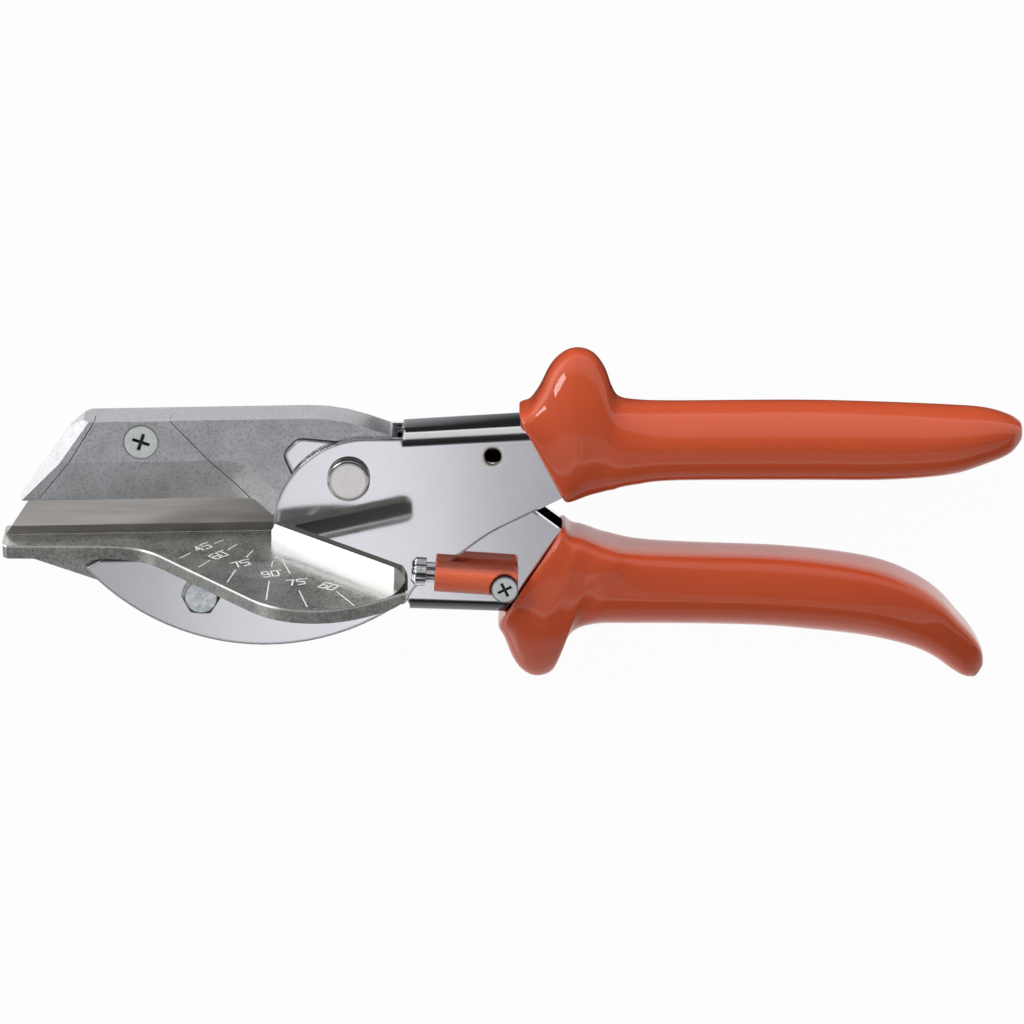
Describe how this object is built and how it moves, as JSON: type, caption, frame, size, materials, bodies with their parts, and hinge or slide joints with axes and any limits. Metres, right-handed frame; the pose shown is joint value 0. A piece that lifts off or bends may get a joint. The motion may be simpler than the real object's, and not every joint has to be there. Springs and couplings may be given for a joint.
{
  "type": "mitre shears",
  "caption": "Hand shears with a clamped trapezoid blade that closes on a flat anvil, a mitre table with angle marks and a fence, nested channel levers, dipped grips and a swinging catch.",
  "frame": {"origin": "on the pivot axis, at the flush end of the pivot bolt on which the tool's back rests", "axes": "+X along the handles towards their ends, +Y across the jaws from the anvil towards the blade holder, +Z along the pivot from the back towards the pivot's head"},
  "size_m": [0.24, 0.0807, 0.0577],
  "materials": {
    "chromed_sheet": "polished chrome plate",
    "casting": "satin, machined faces",
    "blade_steel": "ground",
    "plated_steel": "zinc plated",
    "spring_steel": "plain wire",
    "dipped_grip": "dipped, glossy",
    "latch_plastic": "moulded, finely ribbed"
  },
  "bodies": {
    "anvil_lever": {"outer_channel": "chromed_sheet", "upper_grip": "dipped_grip", "anvil_table": "casting", "anvil_bolt": "plated_steel", "anvil_nut": "plated_steel", "pivot_bolt": "plated_steel", "pivot_nut": "plated_steel", "upper_spring_seat": "plated_steel", "return_spring": "spring_steel"},
    "blade_lever": {"inner_channel": "chromed_sheet", "lower_grip": "dipped_grip", "blade_holder": "casting", "blade_clamp": "casting", "clamp_screw": "plated_steel", "blade": "blade_steel", "blade_pins": "plated_steel", "holder_rivets": "plated_steel", "lower_spring_seat": "plated_steel", "latch_spacer": "plated_steel", "latch_screw": "plated_steel", "latch_nut": "plated_steel"},
    "latch": {"latch_sleeve": "latch_plastic", "latch_pin": "plated_steel"}
  },
  "joints": [
    {"name": "main_pivot", "type": "hinge", "parent": "anvil_lever", "child": "blade_lever", "pos_m": [0, 0, 0.0104], "axis": [0, 0, -1], "range_deg": [0, 24], "deforming": ["return_spring"]},
    {"name": "latch_swing", "type": "hinge", "parent": "blade_lever", "child": "latch", "pos_m": [0.0364, -0.0253, 0.0104], "axis": [0, 0, 1], "range_deg": [0, 25]}
  ]
}
